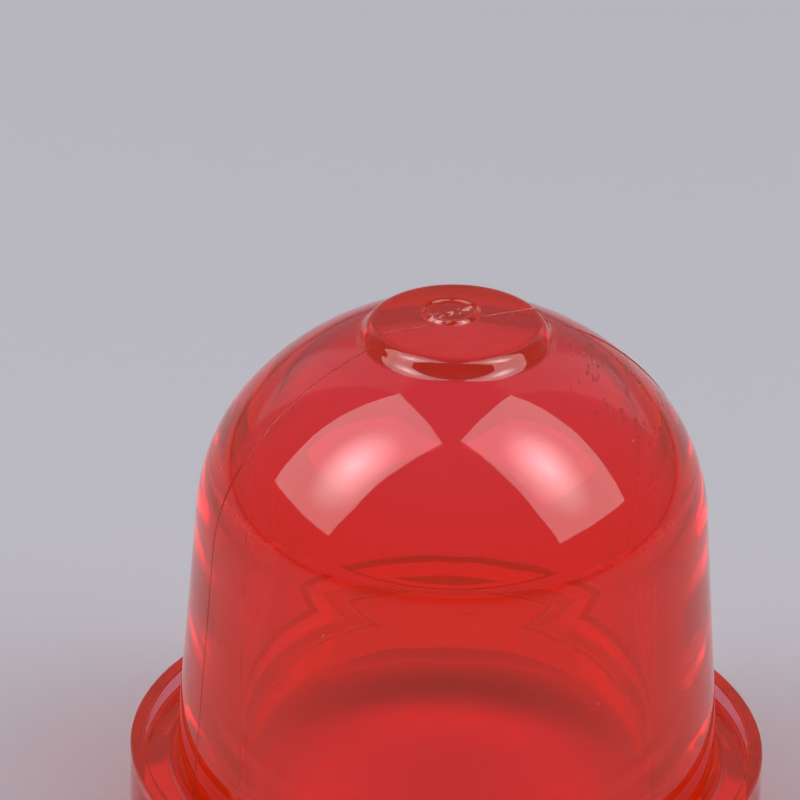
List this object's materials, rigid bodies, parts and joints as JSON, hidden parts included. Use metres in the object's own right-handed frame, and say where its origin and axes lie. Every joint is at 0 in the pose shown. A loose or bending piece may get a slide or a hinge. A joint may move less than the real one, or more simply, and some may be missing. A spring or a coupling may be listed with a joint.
{
  "type": "primer bulb",
  "caption": "Clear red moulded primer bulb: a hollow dome with a thumb button on its crown and a rimmed flange at its open foot.",
  "frame": {"origin": "centre of the annular face that the flange's rim rests on", "axes": "+Z is the bulb's axis of revolution, from the seat towards the button"},
  "size_m": [0.027, 0.027, 0.0243],
  "materials": {
    "clear_red_rubber": "glossy translucent red polyurethane, moulded in one piece"
  },
  "bodies": {
    "root": {"primer_bulb": "clear_red_rubber"}
  },
  "joints": []
}
